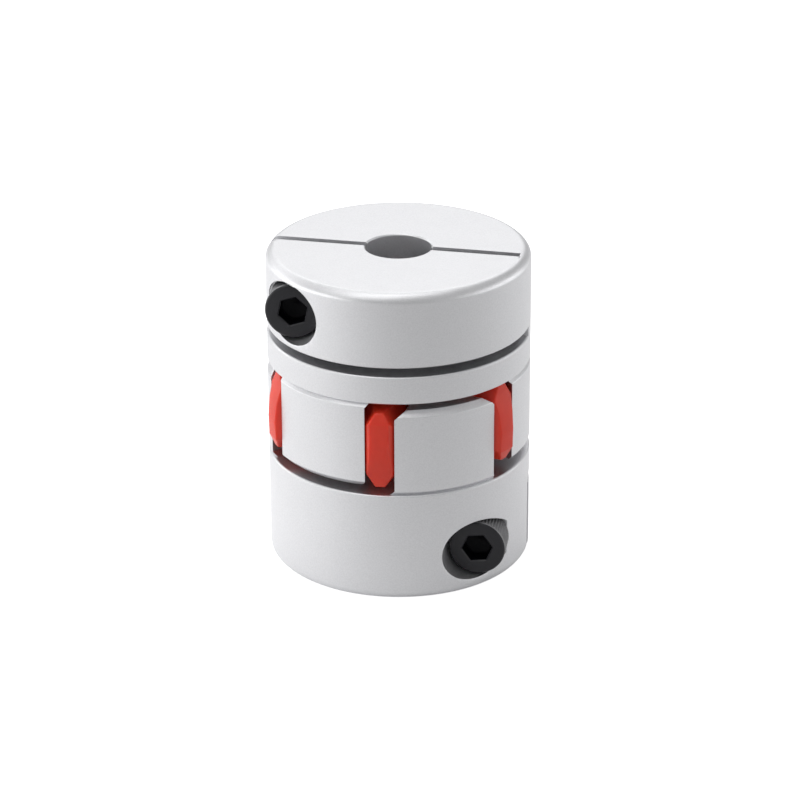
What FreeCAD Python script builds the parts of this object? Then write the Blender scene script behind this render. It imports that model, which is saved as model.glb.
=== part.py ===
"""Clamp-type jaw coupling for two 10 mm shafts, standing on its lower hub.

Two aluminium hubs face each other. Each has three jaws with concave flanks, and
the six crowned legs of a polyurethane spider fill the gaps between the six jaws.
Each hub is slit along its bore and half cut through above the clamp section, so
that one cap screw across the slit pulls the bore onto its shaft.

Origin: centre of the lower end face, on the bore axis. +Z runs up the axis and
+X through the middle of an upper jaw. Lengths are millimetres, angles degrees.
"""
import FreeCAD, Part
import math
import os
import Sketcher

SIZES = [
    ("outer_diameter", 40.0, "hub bodies and jaws"),
    ("hub_length", 17.34, "end face to the floor between the jaws"),
    ("lower_bore", 10.0, "shaft diameter of the lower hub"),
    ("upper_bore", 10.0, "shaft diameter of the upper hub"),
    ("end_chamfer", 1.15, "outer edge of an end face"),
    ("end_crown", 0.16, "how far that edge bulges over a flat chamfer"),
    ("bore_break", 0.2, "broken edge of a bore at the end face"),
    ("rim_break", 0.2, "broken edge of the floor's rim and of the saw cut"),
    ("jaw_inner_diameter", 21.2, "inside faces of the jaws"),
    ("jaw_tip_clearance", 1.2, "jaw tip to the other hub's floor"),
    ("jaw_tip_chamfer", 0.9, "outer edge of a jaw tip"),
    ("lower_jaw_lead", 1.3, "height of the lead-in on the tips of the lower jaws"),
    ("upper_jaw_lead", 0.3, "height of the lead-in on the tips of the upper jaws"),
    ("jaw_root_bevel", 0.75, "height of the bevel between a flank and the floor"),
    ("jaw_root_relief", 0.65, "turned relief at the foot of a jaw"),
    ("jaw_opening", 4.3, "between neighbouring jaws at the outside"),
    ("flank_clearance", 0.02, "jaw flank to the crown of a leg"),
    ("slit_width", 1.35, "clamp slit"),
    ("hinge_web", 1.35, "metal left at the closed end of the slit"),
    ("clamp_length", 11.6, "end face to the saw cut"),
    ("saw_cut", 1.38, "width of the cut above the clamp section"),
    ("lower_jaw_turn", 0.7, "lower jaws, from the line of their slit"),
    ("upper_jaw_turn", -3.5, "upper jaws, from the line of their slit"),
    ("lower_screw_inset", 6.0, "lower screw's axis to the outside of the hub"),
    ("upper_screw_inset", 6.75, "upper screw's axis to the outside of the hub"),
    ("lower_screw_height", 6.7, "lower screw's axis to the end face"),
    ("upper_screw_height", 6.1, "upper screw's axis to the end face"),
    ("screw_seat", 8.8, "slit plane to the seat under the head"),
    ("counterbore", 9.4, "pocket for the head"),
    ("clearance_hole", 5.5, "plain hole under the head"),
    ("thread_diameter", 5.0, "cap screw and its tapped hole"),
    ("screw_length", 16.0, "under the head"),
    ("head_diameter", 8.5, "cap screw head"),
    ("head_height", 5.0, "cap screw head"),
    ("head_edge", 0.4, "chamfered top edge of the head"),
    ("socket_width", 4.0, "hexagon across its flats"),
    ("socket_depth", 2.6, "depth of the hexagon"),
    ("socket_lead", 0.2, "countersunk mouth of the hexagon"),
    ("tip_chamfer", 0.6, "point of the screw"),
    ("lower_screw_turn", 6.0, "how far the lower screw happens to be turned"),
    ("upper_screw_turn", 18.0, "how far the upper screw happens to be turned"),
    ("leg_width", 6.8, "leg at its widest"),
    ("leg_end_width", 3.76, "leg where it meets the outside"),
    ("leg_height", 12.2, "along the axis"),
    ("leg_stagger", 1.36, "how far every second leg stands above its neighbours"),
    ("leg_swell", 0.65, "outer face beyond the jaws, at the bevel of its plain end"),
    ("leg_sink", 0.25, "outer face inside the jaws, at the bevel of its standoff end"),
    ("leg_standoff_sink", 0.4, "the edge of that standoff end inside the jaws"),
    ("leg_plain_bevel", 1.7, "height of the outer face's bevel at the plain end"),
    ("leg_standoff_bevel", 1.4, "height of the outer face's bevel at the standoff end"),
    ("leg_crown", 0.5, "bulge of the outer face between its bevels"),
    ("leg_corner_width", 1.25, "corner cut of a leg, across the flank"),
    ("leg_corner_height", 1.95, "corner cut of a leg, along the axis"),
    ("leg_foot_clearance", 1.24, "low legs to the lower hub's floor"),
    ("leg_top_clearance", 0.02, "high legs to the upper hub's floor"),
    ("spider_hole", 16.0, "middle of the spider"),
    ("web_inset", 1.02, "ring that joins the legs, inside their nearer ends"),
    ("web_clearance", 0.3, "that ring to the inside of the jaws"),
]

JAWS = 3
LEGS = 2 * JAWS
HALF_PITCH = 180.0 / LEGS
HEXAGON = 6
FULL_TURN = 360.0
HALF_TURN = 180.0
LEAD_ANGLE = 40.0
ROOT_ANGLE = 50.0
FACE_SWEEP = 40.0
EDGE_CONES = 2
LEG_FACE_CONES = 3
MARGIN = 1.0
OVERSHOOT = 0.2
CLOSE = 1e-4


class Size:
    """A length or ratio that knows its number and how the sheet gives it."""

    def __init__(self, number, text):
        self.number = number
        self.text = text

    @staticmethod
    def of(value):
        return value if isinstance(value, Size) else Size(float(value), repr(float(value)))

    def join(self, sign, other, number):
        return Size(number, "(%s %s %s)" % (self.text, sign, other.text))

    def __add__(self, other):
        other = Size.of(other)
        return self.join("+", other, self.number + other.number)

    def __sub__(self, other):
        other = Size.of(other)
        return self.join("-", other, self.number - other.number)

    def __mul__(self, other):
        other = Size.of(other)
        return self.join("*", other, self.number * other.number)

    def __truediv__(self, other):
        other = Size.of(other)
        return self.join("/", other, self.number / other.number)

    def __neg__(self):
        return Size(-self.number, "(0 - %s)" % self.text)

    def root(self):
        return Size(math.sqrt(self.number), "sqrt(%s)" % self.text)

    def slope_angle(self):
        return Size(math.degrees(math.atan(self.number)), "atan(%s)" % self.text)


def write_sheet(doc):
    sheet = doc.addObject("Spreadsheet::Sheet", "Sizes")
    for row, (name, number, note) in enumerate(SIZES, start=1):
        sheet.set("A%d" % row, name)
        sheet.set("B%d" % row, str(number))
        sheet.set("C%d" % row, note)
        sheet.setAlias("B%d" % row, name)
    doc.recompute()
    return {name: Size(float(sheet.get(name)), "Sizes." + name) for name, _, _ in SIZES}


def plane_of(body, role):
    return next(item for item in body.Origin.OriginFeatures if item.Role == role)


def new_sketch(body, name, role, lift=None):
    """A sketch on one of the body's own planes, lifted along the plane's normal."""
    sketch = body.newObject("Sketcher::SketchObject", name)
    sketch.AttachmentSupport = [(plane_of(body, role), "")]
    sketch.MapMode = "FlatFace"
    if lift is not None:
        sketch.setExpression("AttachmentOffset.Base.z", lift.text)
    return sketch


def pin(sketch, geometry, end, axis, size):
    """Fix one coordinate of a point; a zero puts the point on the other axis."""
    if abs(size.number) < CLOSE:
        other_axis = -2 if axis == "X" else -1
        sketch.addConstraint(Sketcher.Constraint("PointOnObject", geometry, end, other_axis))
        return
    index = sketch.addConstraint(
        Sketcher.Constraint("Distance" + axis, -1, 1, geometry, end, size.number))
    sketch.setExpression("Constraints[%d]" % index, size.text)


def arc_through(start, end, radius, side):
    """Minor arc; side is 1 when its centre lies left of the way, -1 when right."""
    chord = end - start
    left = FreeCAD.Vector(-chord.y, chord.x, 0).normalize()
    rise = math.sqrt(radius ** 2 - chord.Length ** 2 / 4)
    centre = (start + end) / 2 + left * (side * rise)
    first, last = (start, end) if side > 0 else (end, start)
    angles = [math.atan2(p.y - centre.y, p.x - centre.x) for p in (first, last)]
    circle = Part.Circle(centre, FreeCAD.Vector(0, 0, 1), radius)
    return Part.ArcOfCircle(circle, angles[0], angles[1])


def outline(sketch, corners, arcs=None):
    """Closed outline through the corners; arcs gives an edge its radius and side."""
    arcs = arcs or {}
    points = [FreeCAD.Vector(Size.of(x).number, Size.of(y).number, 0) for x, y in corners]
    ends = []
    for index, start in enumerate(points):
        end = points[(index + 1) % len(points)]
        if index in arcs:
            radius, side = arcs[index]
            edge = sketch.addGeometry(arc_through(start, end, radius.number, side), False)
            ends.append((edge, 1, 2) if side > 0 else (edge, 2, 1))
            rule = sketch.addConstraint(Sketcher.Constraint("Radius", edge, radius.number))
            sketch.setExpression("Constraints[%d]" % rule, radius.text)
        else:
            edge = sketch.addGeometry(Part.LineSegment(start, end), False)
            ends.append((edge, 1, 2))
    for index, (edge, start, _) in enumerate(ends):
        before, _, before_end = ends[index - 1]
        sketch.addConstraint(Sketcher.Constraint("Coincident", before, before_end, edge, start))
        x, y = corners[index]
        pin(sketch, edge, start, "X", Size.of(x))
        pin(sketch, edge, start, "Y", Size.of(y))


def circle(sketch, x, y, radius):
    centre = FreeCAD.Vector(Size.of(x).number, Size.of(y).number, 0)
    ring = Part.Circle(centre, FreeCAD.Vector(0, 0, 1), radius.number)
    edge = sketch.addGeometry(ring, False)
    rule = sketch.addConstraint(Sketcher.Constraint("Radius", edge, radius.number))
    sketch.setExpression("Constraints[%d]" % rule, radius.text)
    pin(sketch, edge, 3, "X", Size.of(x))
    pin(sketch, edge, 3, "Y", Size.of(y))


def turned(body, kind, name, sketch):
    """Turn a profile about the body's axis, as added or removed metal."""
    feature = body.newObject("PartDesign::" + kind, name)
    feature.Profile = sketch
    feature.ReferenceAxis = (sketch, ["V_Axis"])
    feature.Angle = FULL_TURN
    sketch.Visibility = False
    return feature


def cut(body, name, sketch, depth, along_normal):
    feature = body.newObject("PartDesign::Pocket", name)
    feature.Profile = sketch
    feature.Reversed = along_normal
    feature.setExpression("Length", depth.text)
    return feature


def repeat(body, name, features, sketch, count):
    pattern = body.newObject("PartDesign::PolarPattern", name)
    pattern.Originals = features
    pattern.Axis = (sketch, ["N_Axis"])
    pattern.Angle = FULL_TURN
    pattern.Occurrences = count
    body.Tip = pattern
    return pattern


def leg_shape(sizes, middle_width, end_width):
    """Radius of a flank, and the distance from its centre to the leg's middle line."""
    reach = (sizes["outer_diameter"] - sizes["spider_hole"]) / 4
    swell = (middle_width - end_width) / 2
    radius = (swell * swell + reach * reach) / (swell * 2)
    return radius, radius - middle_width / 2


def leg_middle(sizes):
    """Distance from the axis to the widest place of a leg."""
    return (sizes["outer_diameter"] + sizes["spider_hole"]) / 4


def jaw_flank(sizes):
    widest = sizes["leg_width"] + sizes["flank_clearance"] * 2
    return leg_shape(sizes, widest, sizes["jaw_opening"])


def half_width(radius, back, along):
    """Half width of a leg, or of the gap for it, this far from its widest place."""
    return (radius * radius - along * along).root() - back


def floor_gap(sizes):
    """From one hub's floor to the other's: the spider with its clearances."""
    spider = sizes["leg_height"] + sizes["leg_stagger"]
    return spider + sizes["leg_foot_clearance"] + sizes["leg_top_clearance"]


def edge_cones(outer, chamfer, crown):
    """Points between the ends of a bulging edge, so that it is turned as a few cones."""
    points = []
    for step in range(1, EDGE_CONES):
        share = step / EDGE_CONES
        swell = crown * (4 * share * (1 - share) / math.sqrt(2))
        points.append((outer - chamfer * (1 - share) + swell, chamfer * share - swell))
    return points


def hub_blank(body, sizes, bore, jaw_top):
    """Turned blank: body, bore and one unbroken ring where the jaws will be.

    The ring has a small relief turned into its foot, and the rim below it is broken.
    """
    outer = sizes["outer_diameter"] / 2
    inner = sizes["jaw_inner_diameter"] / 2
    chamfer = sizes["end_chamfer"]
    tip = sizes["jaw_tip_chamfer"]
    edge = sizes["bore_break"]
    floor = sizes["hub_length"]
    relief = sizes["jaw_root_relief"]
    rim = sizes["rim_break"]
    sketch = new_sketch(body, "BlankProfile", "XZ_Plane")
    corners = [
        (bore + edge, 0),
        (outer - chamfer, 0),
        *edge_cones(outer, chamfer, sizes["end_crown"]),
        (outer, chamfer),
        (outer, floor - rim),
        (outer - rim, floor),
        (outer - relief, floor),
        (outer, floor + relief),
        (outer, jaw_top - tip),
        (outer - tip, jaw_top),
        (inner, jaw_top),
        (inner, floor),
        (bore, floor),
        (bore, edge),
    ]
    outline(sketch, corners)
    return turned(body, "Revolution", "Blank", sketch)


def beside_leg(sizes, radius):
    """Point on a jaw's flank, where the leg beside it is this far from the axis."""
    flank, back = jaw_flank(sizes)
    beside = half_width(flank, back, radius - leg_middle(sizes))
    lean = math.radians(HALF_PITCH)
    x = radius * math.cos(lean) - beside * math.sin(lean)
    y = radius * math.sin(lean) + beside * math.cos(lean)
    return x, y


def gap_outline(body, sizes, name, level, turn):
    """Gap for two legs and a jaw of the other hub: two flanks and an arc outside."""
    flank = jaw_flank(sizes)[0]
    spare = sizes["jaw_root_bevel"] * 2 + MARGIN
    near_x, near_y = beside_leg(sizes, sizes["jaw_inner_diameter"] / 2 - spare)
    far_x, far_y = beside_leg(sizes, sizes["outer_diameter"] / 2 + spare)
    far_radius = (far_x * far_x + far_y * far_y).root()
    sketch = new_sketch(body, name, "XY_Plane", level)
    corners = [(near_x, near_y), (far_x, far_y), (far_x, -far_y), (near_x, -near_y)]
    outline(sketch, corners, {0: (flank, -1), 1: (far_radius, -1), 2: (flank, -1)})
    sketch.setExpression("AttachmentOffset.Rotation.Angle", "(%s)" % turn.text)
    return sketch


def mill_jaws(body, sizes, jaw_top, lead, turn):
    """Mill the gaps between the jaws, narrower at the floor and wider at the tips."""
    floor = sizes["hub_length"]
    foot = sizes["jaw_root_bevel"]
    sketch = gap_outline(body, sizes, "GapOutline", floor + foot, turn)
    gap = cut(body, "Gap", sketch, jaw_top - floor - foot + MARGIN, True)
    foot_sketch = gap_outline(body, sizes, "FootOutline", floor + foot, turn)
    gap_foot = cut(body, "GapFoot", foot_sketch, foot, False)
    gap_foot.TaperAngle = -ROOT_ANGLE
    mouth_sketch = gap_outline(body, sizes, "MouthOutline", jaw_top - lead, turn)
    gap_mouth = cut(body, "GapMouth", mouth_sketch, lead + OVERSHOOT, True)
    gap_mouth.TaperAngle = LEAD_ANGLE
    return repeat(body, "Gaps", [gap, gap_foot, gap_mouth], sketch, JAWS)


def saw_clamp(body, sizes, toward_front):
    """Cut that frees one half of the clamp section, and the slit along the bore."""
    outer = sizes["outer_diameter"] / 2
    half = sizes["slit_width"] / 2
    rim = sizes["rim_break"]
    low = sizes["clamp_length"]
    high = low + sizes["saw_cut"]
    closed_end = -(outer - sizes["hinge_web"])
    open_end = outer + MARGIN
    profile = new_sketch(body, "SawProfile", "XZ_Plane")
    outline(profile, [
        (0, low),
        (outer - rim, low),
        (open_end, low - rim - MARGIN),
        (open_end, high + rim + MARGIN),
        (outer - rim, high),
        (0, high),
    ])
    saw_cut = turned(body, "Groove", "SawCut", profile)
    saw_cut.Angle = HALF_TURN
    saw_cut.Reversed = toward_front
    slit = new_sketch(body, "SlitOutline", "XY_Plane")
    outline(slit, [(closed_end, -half), (open_end, -half), (open_end, half), (closed_end, half)])
    return cut(body, "Slit", slit, high, True)


def screw_place(sizes, which):
    """A hub's screw: its distance from the bore's axis and from the end face."""
    across = sizes["outer_diameter"] / 2 - sizes[which + "_screw_inset"]
    return across, sizes[which + "_screw_height"]


def drill_screw_hole(body, sizes, which):
    """Tapped hole in the far half, clearance hole and head pocket in the near one."""
    across, up = screw_place(sizes, which)
    depth = sizes["outer_diameter"] / 2 + MARGIN
    tapped = new_sketch(body, "TappedHoleCircle", "XZ_Plane")
    circle(tapped, across, up, sizes["thread_diameter"] / 2)
    cut(body, "TappedHole", tapped, depth, False)
    plain = new_sketch(body, "PlainHoleCircle", "XZ_Plane")
    circle(plain, across, up, sizes["clearance_hole"] / 2)
    cut(body, "PlainHole", plain, depth, True)
    pocket = new_sketch(body, "HeadPocketCircle", "XZ_Plane", sizes["screw_seat"])
    circle(pocket, across, up, sizes["counterbore"] / 2)
    return cut(body, "HeadPocket", pocket, depth, True)


def make_hub(doc, sizes, which, free_half_in_front):
    """One hub, end face down, slit along X, screw on +X with its head towards -Y."""
    body = doc.addObject("PartDesign::Body", which + "_hub")
    body.Label = which + "_hub"
    jaw_top = sizes["hub_length"] + floor_gap(sizes) - sizes["jaw_tip_clearance"]
    hub_blank(body, sizes, sizes[which + "_bore"] / 2, jaw_top)
    mill_jaws(body, sizes, jaw_top, sizes[which + "_jaw_lead"], sizes[which + "_jaw_turn"])
    saw_clamp(body, sizes, free_half_in_front)
    body.Tip = drill_screw_hole(body, sizes, which)
    return body


def leg_ends(sizes):
    """Plain and standoff end of a leg, along the axis from the spider's middle."""
    half = sizes["leg_height"] / 2
    shift = sizes["leg_stagger"] / 2
    return half - shift, half + shift


def pad_leg(body, sizes, way):
    """Leg block along +X (way 1) or -X (way -1), waisted by its two flank arcs."""
    flank, back = leg_shape(sizes, sizes["leg_width"], sizes["leg_end_width"])
    middle = leg_middle(sizes)
    near = sizes["spider_hole"] / 2
    far = sizes["outer_diameter"] / 2 + sizes["leg_swell"] + sizes["leg_crown"]
    near_half = half_width(flank, back, middle - near)
    far_half = half_width(flank, back, far - middle)
    sketch = new_sketch(body, "LegOutline", "XY_Plane", sizes["leg_stagger"] / 2 * -way)
    corners = [
        (near * way, -near_half),
        (far * way, -far_half),
        (far * way, far_half),
        (near * way, near_half),
    ]
    outline(sketch, corners, {0: (flank, way), 2: (flank, way)})
    leg = body.newObject("PartDesign::Pad", "Leg")
    leg.Profile = sketch
    leg.Midplane = True
    leg.setExpression("Length", sizes["leg_height"].text)
    return leg, sketch


def cut_leg_corners(body, sizes, way, side, outward):
    """Flat cuts along the edges of one flank, in line with the chord of one half of it."""
    middle = leg_middle(sizes)
    reach = sizes["outer_diameter"] / 2 - middle
    lean = ((sizes["leg_width"] - sizes["leg_end_width"]) / 2 / reach).slope_angle()
    across = sizes["leg_corner_width"]
    down = sizes["leg_corner_height"]
    half = sizes["leg_height"] / 2
    level = sizes["leg_stagger"] / 2 * -way
    sketch = new_sketch(body, "CornerProfile", "YZ_Plane")
    axis = FreeCAD.Vector(0, -side * way * outward, 0)
    sketch.AttachmentOffset = FreeCAD.Placement(FreeCAD.Vector(), FreeCAD.Rotation(axis, lean.number))
    sketch.setExpression("AttachmentOffset.Rotation.Angle", lean.text)
    sketch.setExpression("AttachmentOffset.Base.x", (sizes["leg_end_width"] / 2 * side).text)
    sketch.setExpression("AttachmentOffset.Base.z", ((middle + reach * outward) * way).text)
    for end in (1, -1):
        outline(sketch, [
            (across * -2 * side, level + (half + down) * end),
            (across * side, level + (half - down * 2) * end),
            (across * side, level + (half + down) * end),
        ])
    corners = cut(body, "Corners", sketch, (reach + across) * 2, False)
    corners.Midplane = True
    return corners


def shape_leg_face(body, sizes, way):
    """Outer face of a leg: a bevel at each end and a long bulge between them."""
    outer = sizes["outer_diameter"] / 2
    swell = outer + sizes["leg_swell"]
    sunk = outer - sizes["leg_sink"]
    end_sunk = outer - sizes["leg_standoff_sink"]
    far = swell + sizes["leg_crown"] + MARGIN * 2
    plain, standoff = leg_ends(sizes)
    high = plain - sizes["leg_plain_bevel"]
    low = -standoff + sizes["leg_standoff_bevel"]
    bulge = []
    for step in range(1, LEG_FACE_CONES):
        share = step / LEG_FACE_CONES
        rise = sizes["leg_crown"] * (4 * share * (1 - share))
        bulge.append((swell + (sunk - swell) * share + rise, high + (low - high) * share))
    sketch = new_sketch(body, "LegFaceProfile", "XZ_Plane")
    corners = [
        (outer, plain + OVERSHOOT),
        (outer, plain),
        (swell, high),
        *bulge,
        (sunk, low),
        (end_sunk, -standoff),
        (end_sunk, -standoff - OVERSHOOT),
        (far, -standoff - OVERSHOOT),
        (far, plain + OVERSHOOT),
    ]
    outline(sketch, [(x * way, y * way) for x, y in corners])
    face = turned(body, "Groove", "LegFace", sketch)
    face.Midplane = True
    face.Angle = FACE_SWEEP
    return face


def make_spider(doc, sizes):
    """Six waisted legs on a thin ring; every second leg stands a little higher."""
    body = doc.addObject("PartDesign::Body", "spider")
    body.Label = "spider"
    for way in (1, -1):
        leg, leg_sketch = pad_leg(body, sizes, way)
        corners = [cut_leg_corners(body, sizes, way, side, outward)
                   for side in (1, -1) for outward in (1, -1)]
        face = shape_leg_face(body, sizes, way)
        repeat(body, "Legs", [leg, *corners, face], leg_sketch, LEGS // 2)

    hole = sizes["spider_hole"] / 2
    web_sketch = new_sketch(body, "WebProfile", "XZ_Plane")
    web_outer = sizes["jaw_inner_diameter"] / 2 - sizes["web_clearance"]
    plain, standoff = leg_ends(sizes)
    web_half = plain - sizes["web_inset"]
    outline(web_sketch, [(hole, -web_half), (web_outer, -web_half), (web_outer, web_half), (hole, web_half)])
    turned(body, "Revolution", "Web", web_sketch)

    bore_sketch = new_sketch(body, "HoleCircle", "XY_Plane", -standoff - MARGIN)
    circle(bore_sketch, 0, 0, hole)
    body.Tip = cut(body, "Hole", bore_sketch, (standoff + MARGIN) * 2, True)
    return body


def make_screw(doc, sizes, name):
    """Socket head cap screw, head up, with the origin at its seat."""
    body = doc.addObject("PartDesign::Body", name)
    body.Label = name
    head = sizes["head_diameter"] / 2
    shank = sizes["thread_diameter"] / 2
    top = sizes["head_height"]
    edge = sizes["head_edge"]
    length = sizes["screw_length"]
    point = sizes["tip_chamfer"]
    profile = new_sketch(body, "ScrewProfile", "XZ_Plane")
    corners = [
        (0, -length),
        (shank - point, -length),
        (shank, point - length),
        (shank, 0),
        (head, 0),
        (head, top - edge),
        (head - edge, top),
        (0, top),
    ]
    outline(profile, corners)
    turned(body, "Revolution", "Blank", profile)

    flat_to_corner = 1 / math.cos(math.pi / HEXAGON)
    reach = sizes["socket_width"] / 2 * flat_to_corner
    hexagon = new_sketch(body, "SocketOutline", "XY_Plane", top)
    corners = []
    for index in range(HEXAGON):
        angle = 2 * math.pi * index / HEXAGON
        corners.append((reach * round(math.cos(angle), 12), reach * round(math.sin(angle), 12)))
    outline(hexagon, corners)
    cut(body, "Socket", hexagon, sizes["socket_depth"], False)

    lead = sizes["socket_lead"]
    cone = new_sketch(body, "SocketMouthProfile", "XZ_Plane")
    outline(cone, [(0, top - lead), (reach, top - lead), (reach + lead * 2, top + lead), (0, top + lead)])
    body.Tip = turned(body, "Groove", "SocketMouth", cone)
    return body


def place_hub(hub, turn, total=None):
    """Turn a hub about its axis; a total length puts it on top, jaws down."""
    upright = FreeCAD.Rotation(FreeCAD.Vector(0, 0, 1), turn)
    if total is None:
        hub.Placement = FreeCAD.Placement(FreeCAD.Vector(), upright)
        return
    over = FreeCAD.Rotation(FreeCAD.Vector(0, 1, 0), 180)
    hub.Placement = FreeCAD.Placement(FreeCAD.Vector(), upright.multiply(over))
    hub.setExpression("Placement.Base.z", total.text)


def place_screw(screw, hub, sizes, which):
    """Seat a screw in its hub: head towards the hub's -Y, turned about its own axis."""
    across, up = screw_place(sizes, which)
    turn = sizes[which + "_screw_turn"].number
    seat = FreeCAD.Vector(across.number, -sizes["screw_seat"].number, up.number)
    towards_front = FreeCAD.Rotation(FreeCAD.Vector(1, 0, 0), 90)
    own_turn = FreeCAD.Rotation(FreeCAD.Vector(0, 0, 1), turn)
    in_hub = FreeCAD.Placement(seat, towards_front.multiply(own_turn))
    screw.Placement = hub.Placement.multiply(in_hub)


def check(doc, parts):
    for item in doc.Objects:
        if "Invalid" in item.State or "Error" in item.State:
            raise RuntimeError("%s failed: %s" % (item.Name, item.State))
    for part in parts:
        if part.Shape.isNull() or not part.Shape.isValid():
            raise RuntimeError("%s has no valid shape" % part.Label)
        if len(part.Shape.Solids) != 1:
            raise RuntimeError("%s is not one solid" % part.Label)


def main():
    doc = FreeCAD.newDocument("JawCoupling")
    sizes = write_sheet(doc)
    total = sizes["hub_length"] * 2 + floor_gap(sizes)
    lower_hub = make_hub(doc, sizes, "lower", False)
    upper_hub = make_hub(doc, sizes, "upper", True)
    spider = make_spider(doc, sizes)
    lower_screw = make_screw(doc, sizes, "lower_screw")
    upper_screw = make_screw(doc, sizes, "upper_screw")

    place_hub(lower_hub, -sizes["lower_jaw_turn"].number)
    place_hub(upper_hub, sizes["upper_jaw_turn"].number, total)
    spider_foot = sizes["hub_length"] + sizes["leg_foot_clearance"]
    spider_middle = spider_foot + (sizes["leg_height"] + sizes["leg_stagger"]) / 2
    spider.setExpression("Placement.Base.z", spider_middle.text)
    spider.Placement.Rotation = FreeCAD.Rotation(FreeCAD.Vector(0, 0, 1), HALF_PITCH)
    doc.recompute()
    place_screw(lower_screw, lower_hub, sizes, "lower")
    place_screw(upper_screw, upper_hub, sizes, "upper")
    doc.recompute()

    parts = [lower_hub, upper_hub, spider, lower_screw, upper_screw]
    check(doc, parts)
    os.makedirs("parts", exist_ok=True)
    for part in parts:
        part.Shape.exportStep(os.path.join("parts", part.Label + ".step"))
        print(part.Label, round(part.Shape.Volume, 2), "mm3")


main()
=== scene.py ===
"""Looks for the jaw coupling: fine pieces, materials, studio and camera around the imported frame."""
import bpy
import bmesh
import math
from mathutils import Matrix, Vector


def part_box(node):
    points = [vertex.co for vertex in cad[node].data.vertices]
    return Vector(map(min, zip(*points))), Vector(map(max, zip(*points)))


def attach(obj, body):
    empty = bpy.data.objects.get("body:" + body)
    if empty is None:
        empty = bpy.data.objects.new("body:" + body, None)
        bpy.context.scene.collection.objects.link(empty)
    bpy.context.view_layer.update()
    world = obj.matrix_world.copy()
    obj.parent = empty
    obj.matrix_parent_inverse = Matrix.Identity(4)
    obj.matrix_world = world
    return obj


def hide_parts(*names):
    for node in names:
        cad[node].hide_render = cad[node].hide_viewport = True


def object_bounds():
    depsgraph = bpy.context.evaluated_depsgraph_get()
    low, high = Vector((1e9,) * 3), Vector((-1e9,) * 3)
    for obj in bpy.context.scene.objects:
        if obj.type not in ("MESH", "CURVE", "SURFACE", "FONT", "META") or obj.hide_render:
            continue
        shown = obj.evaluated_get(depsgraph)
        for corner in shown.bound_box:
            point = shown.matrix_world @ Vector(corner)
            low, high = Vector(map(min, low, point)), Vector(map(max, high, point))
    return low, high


MM = 0.001

# The photograph's view, in the frame of the part
CAMERA_LENS_MM = 155.5
SENSOR_MM = 36.0
CAMERA_DISTANCE = 529.0 * MM
CAMERA_AZIMUTH = math.radians(8.5)
CAMERA_ELEVATION = math.radians(23.72)
CAMERA_ROLL = math.radians(0.265)
AIM_HEIGHT = 24.23 * MM
AIM_ASIDE = 0.135 * MM
CLIP_NEAR = 0.01
CLIP_FAR = 10.0

# Soft boxes: name, degrees round from the camera, degrees up, width and height in metres, watts
LAMP_DISTANCE = 0.8
LAMPS = [
    ("left", -66, 5, 0.6, 0.4, 1.2),
    ("left_back", -108, 6, 0.6, 0.4, 1.0),
    ("back_left", -130, 30, 0.6, 0.5, 0.75),
    ("right", 75, 6, 0.5, 0.5, 0.6),
    ("right_back", 108, 6, 0.5, 0.4, 0.8),
    ("back_top", 180, 40, 0.7, 0.6, 1.24),
    ("top", 0, 90, 0.5, 0.5, 0.95),
    ("left_top", -50, 58, 0.5, 0.5, 0.8),
]
# A lamp that metal doesn't mirror, for the red of the spider
UNMIRRORED_LAMP = ("left_soft", -100, 0, 0.5, 0.5, 4.0)

# The world: its strength for rays that don't see it directly, how far reflections go from
# there toward full white, and what scattered rays get on top
WORLD_LIGHT = 0.35
WORLD_REFLECTED = 0.1
WORLD_SCATTERED = 0.1

# The floor, and how strongly its glow shows in reflections by direction and by distance;
# below zero none of it shows
FLOOR_SIZE = 4.0
FLOOR_DROP = 0.05 * MM
FLOOR_COLOUR = 0.6
FLOOR_GLOW = 0.85
FLOOR_BRIGHT_SIDE = 0.53
FLOOR_DARK_SIDE = -0.05
FLOOR_DARK_AZIMUTH = math.radians(35)
FLOOR_NEAR = 25 * MM
FLOOR_FAR = 90 * MM
FLOOR_NEAR_EXTRA = 0.2

# Noises: scale per millimetre, detail and roughness; most of a noise lies in its middle range
NOISE_RANGE = (0.3, 0.7)
ALUMINIUM_CLOUD = (0.35, 3.0, 0.5)
ALUMINIUM_GRAIN = (4.5, 5.0, 0.7)
TURNING_NOISE = (4.0, 2.0, 0.6)
RUBBER_CLOUD = (0.5, 3.0, 0.5)
RUBBER_GRAIN = (6.0, 3.0, 0.5)
STEEL_CLOUD = (1.2, 4.0, 0.6)
STEEL_GRAIN = (12.0, 3.0, 0.5)

# Bumps: depth and strength
BLASTED_BUMP = (0.020 * MM, 0.8)
TURNED_BUMP = (0.010 * MM, 0.6)
RUBBER_BUMP = (0.010 * MM, 0.5)
STEEL_BUMP = (0.008 * MM, 0.5)

# Colours from low to high noise, and roughness
ALUMINIUM_COLOURS = ((0.76, 0.762, 0.780), (0.86, 0.862, 0.880))
ALUMINIUM_ROUGHNESS = (0.41, 0.47)
RUBBER_COLOURS = ((0.68, 0.034, 0.012), (0.80, 0.046, 0.018))
RUBBER_ROUGHNESS = (0.36, 0.46)
STEEL_ROUGHNESS = (0.32, 0.46)

# How much light enters the rubber, how far, and how far each of red, green and blue goes
RUBBER_ENTERED = 0.6
RUBBER_REACH = 3.0 * MM
RUBBER_REACHES = (1.0, 0.15, 0.05)

# Turning lines fade in where a face is nearly square to the axis
FLAT_RANGE = (0.97, 0.995)

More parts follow.
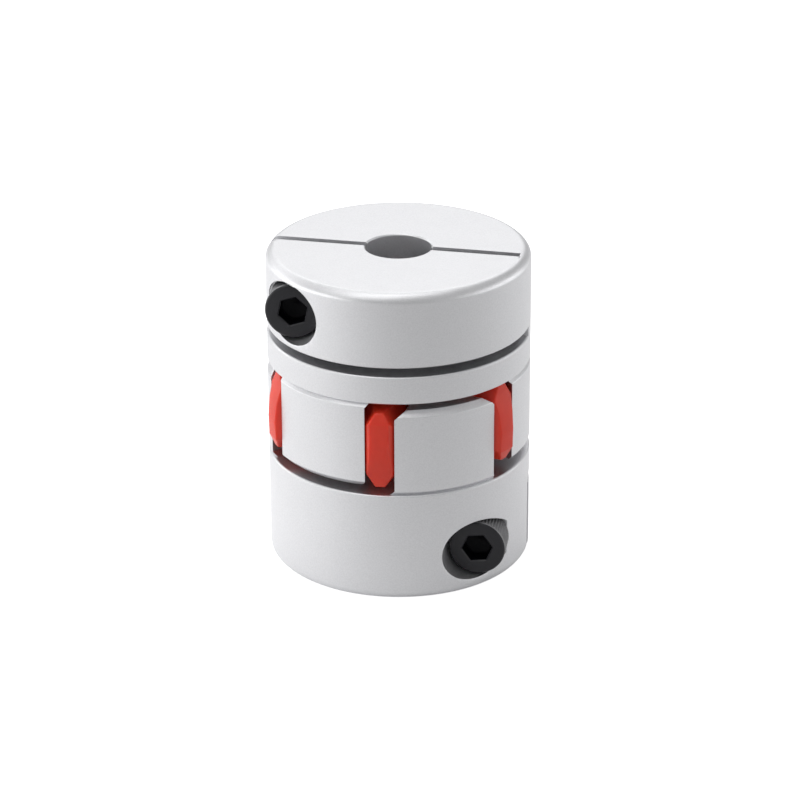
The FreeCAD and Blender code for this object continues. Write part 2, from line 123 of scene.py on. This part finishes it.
# A screw's materials in the order of their slots: name, two colours and gloss
BLACK, SOCKET_PAINTED_SHADE, PAINTED_HIGHLIGHT = range(3)
SCREW_STEELS = [
    ("black_steel", (0.004, 0.004, 0.006), (0.011, 0.011, 0.016), 0.5),
    # A darker, duller copy of the black steel: painted shade in the hollow of the socket
    ("black_steel_socket_painted_shade", (0.001, 0.001, 0.002), (0.003, 0.003, 0.005), 0.1),
    # A lighter, glossier copy of the black steel: painted highlight on the knurled flank and on the
    # outer half of the head's round
    ("black_steel_painted_highlight", (0.08, 0.08, 0.084), (0.24, 0.24, 0.25), 0.8),
]

# How the CAD's facets are turned into finished pieces
WELD = 0.001 * MM
SHARP = math.radians(25)
HUB_EDGE = 0.07 * MM
SPIDER_EDGE = 0.16 * MM
EDGE_STEPS = 2
ROUND_PROFILE = 0.5
LARGE_FACES_LEAD = 100
SPIDER_SMOOTH = math.radians(14)
SCREW_SMOOTH = math.radians(28)

# The crowned end edge of a hub: where it lies, which folds it has and how they are rounded
HUB_RADIUS = 20.0 * MM
CROWN_WIDTH = 1.2 * MM
CROWN_DEPTH = 1.25 * MM
CROWN_FOLDS = (math.radians(10), math.radians(60))
CROWN_ROUND = 0.34 * MM
CROWN_STEPS = 3

# The legs of the spider: heights of their end bevels, and the radius that their faces lie outside
STANDOFF_BEVEL = 1.4 * MM
PLAIN_BEVEL = 1.7 * MM
LEG_STAGGER = 1.36 * MM
FOLD_REACH = 0.03 * MM
LEG_FACE_INSIDE = 18.5 * MM

# Socket head cap screws
HEAD_RADIUS = 4.25 * MM
HEAD_HEIGHT = 5.0 * MM
HEAD_ROUND = 0.45 * MM
HEAD_ROUND_STEPS = 3
HEAD_FOOT = 0.15 * MM
KNURLS = 54
KNURL_DEPTH = 0.19 * MM
KNURL_START = 0.75 * MM
KNURL_END = 4.5 * MM
SOCKET_WIDTH = 4.0 * MM
SOCKET_DEPTH = 2.6 * MM
SOCKET_LEAD = 0.18 * MM
SOCKET_DRILL = 1.94 * MM
SOCKET_CONE = 0.75 * MM
CONE_TIP = 0.05 * MM
THREAD_RADIUS = 2.5 * MM
THREAD_PITCH = 0.8 * MM
THREAD_DEPTH = 0.43 * MM
THREAD_STEPS = 8
PLAIN_NECK = 0.6 * MM
TIP_CHAMFER = 0.6 * MM
LOWER_SCREW_TURN = math.radians(6)
UPPER_SCREW_TURN = math.radians(18)


def to_object(mesh, name):
    """The finished mesh as an object in the scene."""
    data = bpy.data.meshes.new(name)
    mesh.to_mesh(data)
    mesh.free()
    piece = bpy.data.objects.new(name, data)
    bpy.context.scene.collection.objects.link(piece)
    return piece


def smooth(piece, angle):
    """Round shading up to an angle, led by the larger faces."""
    piece.data.shade_smooth()
    piece.data.set_sharp_from_angle(angle=angle)
    weighted = piece.modifiers.new("even_shading", "WEIGHTED_NORMAL")
    weighted.mode = "FACE_AREA"
    weighted.weight = LARGE_FACES_LEAD
    weighted.keep_sharp = True


def bevel(mesh, edges, width, steps):
    """Round the edges off over a width."""
    bmesh.ops.bevel(mesh, geom=edges, offset=width, offset_type="OFFSET", segments=steps,
                    profile=ROUND_PROFILE, affect="EDGES", clamp_overlap=False)


def fold_between(edge, low, high):
    """Whether the faces beside an edge turn by an angle in this range."""
    return low < edge.calc_face_angle(0) < high


def welded(node):
    """The CAD node's mesh with its facets joined at their corners."""
    mesh = bmesh.new()
    mesh.from_mesh(node.data)
    bmesh.ops.remove_doubles(mesh, verts=mesh.verts, dist=WELD)
    return mesh


def round_end_crown(mesh, end):
    """Turn the folds of a hub's crowned end edge into one soft round."""
    def on_crown(edge):
        return all(math.hypot(point.co.x, point.co.y) > HUB_RADIUS - CROWN_WIDTH
                   and abs(point.co.z - end) < CROWN_DEPTH for point in edge.verts)

    folds = [edge for edge in mesh.edges
             if on_crown(edge) and fold_between(edge, *CROWN_FOLDS)]
    bevel(mesh, folds, CROWN_ROUND, CROWN_STEPS)


def break_edges(mesh, width):
    """Take the edge off every sharp fold."""
    bevel(mesh, [edge for edge in mesh.edges if fold_between(edge, SHARP, math.pi)], width, EDGE_STEPS)


def keep_inside(mesh, low, high):
    """Bring corners that the bevels pushed out by a hair back into the CAD's own box."""
    for point in mesh.verts:
        for axis in range(3):
            point.co[axis] = min(max(point.co[axis], low[axis]), high[axis])


def crease_leg_faces(spider, foot, top):
    """Keep the folds of the legs' outer faces crisp, above and below their long bulge."""
    folds = (foot + STANDOFF_BEVEL, foot + LEG_STAGGER + PLAIN_BEVEL,
             top - STANDOFF_BEVEL, top - LEG_STAGGER - PLAIN_BEVEL)
    points = spider.data.vertices
    for edge in spider.data.edges:
        ends = [points[index].co for index in edge.vertices]
        level = any(all(abs(end.z - fold) < FOLD_REACH for end in ends) for fold in folds)
        if level and all(math.hypot(end.x, end.y) > LEG_FACE_INSIDE for end in ends):
            edge.use_edge_sharp = True


def hexagon_radius(angle):
    """Distance from the middle of the socket to its edge; corners lie at multiples of 60 degrees."""
    side = math.radians(60)
    return SOCKET_WIDTH / 2 / math.cos(angle % side - side / 2)


def thread_radius(angle, along):
    """Radius of the thread's flank: a triangular groove that winds round the shank."""
    phase = (along / THREAD_PITCH - angle / (2 * math.pi)) % 1
    return THREAD_RADIUS - THREAD_DEPTH * (1 - abs(2 * phase - 1))


def plain(radius):
    """A round ring."""
    return lambda index, angle: radius


def hexagon(grown):
    """A ring like the socket's edge, some way outside it."""
    return lambda index, angle: hexagon_radius(angle) + grown


def knurled(index, angle):
    """A ring with a groove at every second corner."""
    return HEAD_RADIUS - (KNURL_DEPTH if index % 2 else 0)


def threaded(along, limit):
    """A ring of the thread, cut off by the chamfer of the point."""
    return lambda index, angle: min(limit, thread_radius(angle, along))


def head_rings():
    """Rings from the bottom of the socket over the face to the foot of the head.

    Each has its depth below the face, its radius by angle, and the material of the band after it.
    """
    rings = [
        # The socket's bands get the darker copy of the steel: painted shade in the hollow
        (SOCKET_DEPTH + SOCKET_CONE, plain(CONE_TIP), SOCKET_PAINTED_SHADE),
        (SOCKET_DEPTH, plain(SOCKET_DRILL), SOCKET_PAINTED_SHADE),
        (SOCKET_DEPTH, hexagon(0), SOCKET_PAINTED_SHADE),
        (SOCKET_LEAD, hexagon(0), BLACK),
        (0, hexagon(SOCKET_LEAD), BLACK),
    ]
    for step in range(HEAD_ROUND_STEPS + 1):
        turn = math.radians(90 / HEAD_ROUND_STEPS * step)
        reach = HEAD_RADIUS - HEAD_ROUND * (1 - math.sin(turn))
        # The outer half of the round gets the lighter copy of the steel: painted highlight
        outer_half = step > HEAD_ROUND_STEPS / 2
        rings.append((HEAD_ROUND * (1 - math.cos(turn)), plain(reach), PAINTED_HIGHLIGHT if outer_half else BLACK))
    # The knurled flank gets the lighter copy too: painted highlight on its ridges and grooves
    rings += [
        (KNURL_START - KNURL_DEPTH, plain(HEAD_RADIUS), PAINTED_HIGHLIGHT),
        (KNURL_START, knurled, PAINTED_HIGHLIGHT),
        (KNURL_END, knurled, PAINTED_HIGHLIGHT),
        (KNURL_END + KNURL_DEPTH, plain(HEAD_RADIUS), BLACK),
        (HEAD_HEIGHT - HEAD_FOOT, plain(HEAD_RADIUS), BLACK),
        (HEAD_HEIGHT, plain(HEAD_RADIUS - HEAD_FOOT), BLACK),
    ]
    return rings


def shank_rings(length):
    """Rings of the plain neck, the thread and the chamfered point, as in head_rings."""
    start = HEAD_HEIGHT + PLAIN_NECK
    rings = [(HEAD_HEIGHT, plain(THREAD_RADIUS), BLACK), (start, plain(THREAD_RADIUS), BLACK)]
    count = int((length - HEAD_HEIGHT - PLAIN_NECK) / THREAD_PITCH * THREAD_STEPS)
    for step in range(1, count):
        along = start + step * THREAD_PITCH / THREAD_STEPS
        limit = THREAD_RADIUS - max(0, along - (length - TIP_CHAMFER))
        rings.append((along, threaded(along, limit), BLACK))
    rings.append((length, plain(THREAD_RADIUS - TIP_CHAMFER), BLACK))
    return rings


def make_screw(node, name, turn):
    """Socket head cap screw along Y, its head's face at the low end of the node's box."""
    low, high = (Vector(corner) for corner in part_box(node))
    middle_x = (low.x + high.x) / 2
    middle_z = (low.z + high.z) / 2
    rings = head_rings() + shank_rings(high.y - low.y)
    mesh = bmesh.new()
    columns = 2 * KNURLS
    loops = []
    materials = []
    for depth, radius_at, material in rings:
        loop = []
        for index in range(columns):
            angle = 2 * math.pi * index / columns
            radius = radius_at(index, angle)
            x = middle_x + radius * math.cos(angle + turn)
            z = middle_z + radius * math.sin(angle + turn)
            loop.append(mesh.verts.new((x, low.y + depth, z)))
        loops.append(loop)
        materials.append(material)
    for inner, outer, material in zip(loops, loops[1:], materials):
        for index in range(columns):
            after = (index + 1) % columns
            face = mesh.faces.new((inner[index], inner[after], outer[after], outer[index]))
            face.material_index = material
    # The tip of the socket's cone is closed with the same painted shade
    mesh.faces.new(reversed(loops[0])).material_index = SOCKET_PAINTED_SHADE
    mesh.faces.new(loops[-1])
    bmesh.ops.recalc_face_normals(mesh, faces=mesh.faces)
    return to_object(mesh, name)


class Graph:
    """The nodes of a material or of the world, and the few kinds of node that they need."""

    def __init__(self, tree):
        self.nodes = tree.nodes
        self.links = tree.links

    def feed(self, socket, value):
        """Set a socket to a value, or link it to another node's output."""
        if isinstance(value, bpy.types.NodeSocket):
            self.links.new(value, socket)
        else:
            socket.default_value = value

    def feed_all(self, node, **values):
        """Feed sockets by name, with an underscore for each space."""
        for name, value in values.items():
            self.feed(node.inputs[name.replace("_", " ")], value)

    def calculate(self, operation, *values):
        """A step of arithmetic on numbers."""
        node = self.nodes.new("ShaderNodeMath")
        node.operation = operation
        for socket, value in zip(node.inputs, values):
            self.feed(socket, value)
        return node.outputs["Value"]

    def vector(self, operation, result, *values):
        """A step of arithmetic on vectors; the result is its Vector or its Value."""
        node = self.nodes.new("ShaderNodeVectorMath")
        node.operation = operation
        for socket, value in zip(node.inputs, values):
            self.feed(socket, value)
        return node.outputs[result]

    def place(self):
        """Coordinates on the object, in metres."""
        return self.nodes.new("ShaderNodeTexCoord").outputs["Object"]

    def millimetres(self):
        """Coordinates on the object, counted in millimetres."""
        scale = self.nodes.new("ShaderNodeVectorMath")
        scale.operation = "SCALE"
        self.feed_all(scale, Vector=self.place(), Scale=1 / MM)
        return scale.outputs["Vector"]

    def noise(self, place, scale, detail, roughness):
        """A cloudy value from zero to one."""
        texture = self.nodes.new("ShaderNodeTexNoise")
        self.feed_all(texture, Vector=place, Scale=scale, Detail=detail, Roughness=roughness)
        return texture.outputs["Fac"]

    def stretch(self, value, low, high, out_low, out_high):
        """Turn the range from low to high into another, and hold what lies beyond it."""
        ramp = self.nodes.new("ShaderNodeMapRange")
        self.feed_all(ramp, Value=value, From_Min=low, From_Max=high, To_Min=out_low, To_Max=out_high)
        return ramp.outputs["Result"]

    def blend(self, share, first, second):
        """From the first colour to the second."""
        mix = self.nodes.new("ShaderNodeMix")
        mix.data_type = "RGBA"
        self.feed_all(mix, A=(*first, 1), B=(*second, 1), Factor=share)
        return mix.outputs["Result"]

    def bump(self, height, distance, strength, onto=None):
        """A dented normal, on top of another where there is one."""
        dent = self.nodes.new("ShaderNodeBump")
        self.feed_all(dent, Height=height, Distance=distance, Strength=strength)
        if onto is not None:
            self.feed(dent.inputs["Normal"], onto)
        return dent.outputs["Normal"]

    def white_to_camera(self, reflected):
        """One for rays of the camera, a share for reflections and transmission, else zero."""
        path = self.nodes.new("ShaderNodeLightPath").outputs
        mirrored = self.calculate("MAXIMUM", path["Is Glossy Ray"], path["Is Transmission Ray"])
        return self.calculate("MAXIMUM", path["Is Camera Ray"],
                              self.calculate("MULTIPLY", mirrored, reflected))


def new_material(name):
    """A material and its graph."""
    material = bpy.data.materials.new(name)
    material.use_nodes = True
    return material, Graph(material.node_tree)


def turning_lines(graph, place):
    """Fine rings round the axis, on faces square to it."""
    parts = graph.nodes.new("ShaderNodeSeparateXYZ")
    graph.feed(parts.inputs[0], place)
    flat = graph.nodes.new("ShaderNodeCombineXYZ")
    graph.feed_all(flat, X=parts.outputs["X"], Y=parts.outputs["Y"])
    along = graph.nodes.new("ShaderNodeCombineXYZ")
    graph.feed_all(along, X=graph.vector("LENGTH", "Value", flat.outputs[0]))
    lines = graph.noise(along.outputs[0], *TURNING_NOISE)
    facing = graph.nodes.new("ShaderNodeSeparateXYZ")
    graph.feed(facing.inputs[0], graph.nodes.new("ShaderNodeNewGeometry").outputs["True Normal"])
    upright = graph.calculate("ABSOLUTE", facing.outputs["Z"])
    return graph.calculate("MULTIPLY", lines, graph.stretch(upright, *FLAT_RANGE, 0, 1))


def aluminium():
    """Blasted and clear anodised: an even fine grain over a soft metallic sheen."""
    material, graph = new_material("anodised_aluminium")
    place = graph.millimetres()
    cloud = graph.noise(place, *ALUMINIUM_CLOUD)
    grain = graph.noise(place, *ALUMINIUM_GRAIN)
    blasted = graph.bump(grain, *BLASTED_BUMP)
    graph.feed_all(
        graph.nodes["Principled BSDF"],
        Metallic=1.0,
        Base_Color=graph.blend(graph.stretch(grain, *NOISE_RANGE, 0, 1), *ALUMINIUM_COLOURS),
        Roughness=graph.stretch(cloud, *NOISE_RANGE, *ALUMINIUM_ROUGHNESS),
        Normal=graph.bump(turning_lines(graph, place), *TURNED_BUMP, blasted),
    )
    return material


def polyurethane():
    """Satin red rubber that lets a little light in near its edges."""
    material, graph = new_material("red_polyurethane")
    place = graph.millimetres()
    cloud = graph.noise(place, *RUBBER_CLOUD)
    grain = graph.noise(place, *RUBBER_GRAIN)
    graph.feed_all(
        graph.nodes["Principled BSDF"],
        Subsurface_Weight=RUBBER_ENTERED,
        Subsurface_Radius=RUBBER_REACHES,
        Subsurface_Scale=RUBBER_REACH,
        Base_Color=graph.blend(cloud, *RUBBER_COLOURS),
        Roughness=graph.stretch(grain, *NOISE_RANGE, *RUBBER_ROUGHNESS),
        Normal=graph.bump(grain, *RUBBER_BUMP),
    )
    return material


def black_steel(name, low, high, gloss):
    """Oiled black oxide, uneven between two shades."""
    material, graph = new_material(name)
    place = graph.millimetres()
    cloud = graph.noise(place, *STEEL_CLOUD)
    grain = graph.noise(place, *STEEL_GRAIN)
    graph.feed_all(
        graph.nodes["Principled BSDF"],
        Specular_IOR_Level=gloss,
        Base_Color=graph.blend(cloud, low, high),
        Roughness=graph.stretch(cloud, *NOISE_RANGE, *STEEL_ROUGHNESS),
        Normal=graph.bump(grain, *STEEL_BUMP),
    )
    return material


def dress(piece, node, slot, *materials):
    """Give a finished piece its materials and let it stand in for its CAD node."""
    for material in materials:
        piece.data.materials.append(material)
    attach(piece, "root")
    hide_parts(node)


def facing_coupling(azimuth, elevation):
    """Turn that looks at the coupling from a direction."""
    return Matrix.Rotation(azimuth, 4, "Z") @ Matrix.Rotation(math.pi / 2 - elevation, 4, "X")


def make_camera():
    """Looks at the middle of the coupling from the front, a little from above."""
    data = bpy.data.cameras.new("camera")
    data.sensor_fit = "HORIZONTAL"
    data.sensor_width = SENSOR_MM
    data.lens = CAMERA_LENS_MM
    data.clip_start = CLIP_NEAR
    data.clip_end = CLIP_FAR
    camera = bpy.data.objects.new("camera", data)
    bpy.context.scene.collection.objects.link(camera)
    aim = Matrix.Rotation(CAMERA_AZIMUTH, 4, "Z") @ Vector((AIM_ASIDE, 0, AIM_HEIGHT))
    turn = facing_coupling(CAMERA_AZIMUTH, CAMERA_ELEVATION) @ Matrix.Rotation(-CAMERA_ROLL, 4, "Z")
    back = Matrix.Translation((0, 0, CAMERA_DISTANCE))
    camera.matrix_world = Matrix.Translation(aim) @ turn @ back
    bpy.context.scene.camera = camera


def soft_box(name, azimuth, elevation, width, height, power):
    """Area lamp that faces the coupling."""
    data = bpy.data.lights.new(name, "AREA")
    data.shape = "RECTANGLE"
    data.size = width
    data.size_y = height
    data.energy = power
    lamp = bpy.data.objects.new(name, data)
    bpy.context.scene.collection.objects.link(lamp)
    turn = facing_coupling(CAMERA_AZIMUTH + math.radians(azimuth), math.radians(elevation))
    back = Matrix.Translation((0, 0, LAMP_DISTANCE))
    lamp.matrix_world = Matrix.Translation((0, 0, AIM_HEIGHT)) @ turn @ back
    return lamp


def floor_share(graph):
    """How strongly the floor shows in reflections: least to the right of the camera, more near by."""
    place = graph.place()
    distance = graph.vector("LENGTH", "Value", place)
    near = graph.stretch(distance, FLOOR_NEAR, FLOOR_FAR, FLOOR_NEAR_EXTRA, 0)
    turn = CAMERA_AZIMUTH + FLOOR_DARK_AZIMUTH
    darkest = (math.sin(turn), -math.cos(turn), 0)
    toward = graph.vector("NORMALIZE", "Vector", place)
    facing = graph.vector("DOT_PRODUCT", "Value", toward, darkest)
    level = graph.stretch(facing, -1, 1, FLOOR_BRIGHT_SIDE, FLOOR_DARK_SIDE)
    return graph.calculate("ADD", near, level)


def make_floor():
    """Pale floor that glows white behind the coupling and keeps its shadow."""
    bpy.ops.mesh.primitive_plane_add(size=FLOOR_SIZE, location=(0, 0, -FLOOR_DROP))
    floor = bpy.context.object
    floor.name = "floor"
    material, graph = new_material("floor")
    graph.nodes.clear()
    diffuse = graph.nodes.new("ShaderNodeBsdfDiffuse")
    graph.feed_all(diffuse, Color=(FLOOR_COLOUR, FLOOR_COLOUR, FLOOR_COLOUR, 1))
    seen = graph.white_to_camera(floor_share(graph))
    glow = graph.nodes.new("ShaderNodeEmission")
    graph.feed_all(glow, Strength=graph.calculate("MULTIPLY", seen, FLOOR_GLOW))
    both = graph.nodes.new("ShaderNodeAddShader")
    graph.feed(both.inputs[0], diffuse.outputs[0])
    graph.feed(both.inputs[1], glow.outputs[0])
    output = graph.nodes.new("ShaderNodeOutputMaterial")
    graph.feed_all(output, Surface=both.outputs[0])
    floor.data.materials.append(material)


def make_world():
    """White backdrop to the camera, part of it in reflections, soft even light to the rest."""
    world = bpy.data.worlds.new("studio")
    bpy.context.scene.world = world
    world.use_nodes = True
    graph = Graph(world.node_tree)
    level = graph.stretch(graph.white_to_camera(WORLD_REFLECTED), 0, 1, WORLD_LIGHT, 1)
    scattered = graph.nodes.new("ShaderNodeLightPath").outputs["Is Diffuse Ray"]
    extra = graph.stretch(scattered, 0, 1, 0, WORLD_SCATTERED)
    graph.feed_all(graph.nodes["Background"], Color=(1, 1, 1, 1),
                   Strength=graph.calculate("ADD", level, extra))


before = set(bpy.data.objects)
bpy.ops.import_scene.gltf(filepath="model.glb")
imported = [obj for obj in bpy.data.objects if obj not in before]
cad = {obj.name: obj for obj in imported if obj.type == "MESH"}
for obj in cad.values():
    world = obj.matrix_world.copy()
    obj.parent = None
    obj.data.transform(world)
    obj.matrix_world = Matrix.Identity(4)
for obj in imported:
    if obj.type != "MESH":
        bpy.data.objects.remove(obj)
cad_low, cad_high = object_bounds()

metal = aluminium()
for which, end in (("lower", cad_low[2]), ("upper", cad_high[2])):
    mesh = welded(cad[which + "_hub"])
    round_end_crown(mesh, end)
    break_edges(mesh, HUB_EDGE)
    keep_inside(mesh, cad_low, cad_high)
    hub = to_object(mesh, which + "_hub_finished")
    smooth(hub, SHARP)
    dress(hub, which + "_hub", "anodised_aluminium", metal)

mesh = welded(cad["spider"])
break_edges(mesh, SPIDER_EDGE)
keep_inside(mesh, cad_low, cad_high)
spider = to_object(mesh, "spider_moulded")
smooth(spider, SPIDER_SMOOTH)
crease_leg_faces(spider, *(corner[2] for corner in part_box("spider")))
dress(spider, "spider", "red_polyurethane", polyurethane())

steels = [black_steel(*steel) for steel in SCREW_STEELS]
for which, turn in (("lower", LOWER_SCREW_TURN), ("upper", UPPER_SCREW_TURN)):
    screw = make_screw(which + "_screw", which + "_screw_finished", turn)
    smooth(screw, SCREW_SMOOTH)
    dress(screw, which + "_screw", "black_steel", *steels)

make_camera()
make_world()
make_floor()
for lamp in LAMPS:
    soft_box(*lamp)
soft_box(*UNMIRRORED_LAMP).visible_glossy = False
bpy.context.scene.view_settings.view_transform = "Standard"
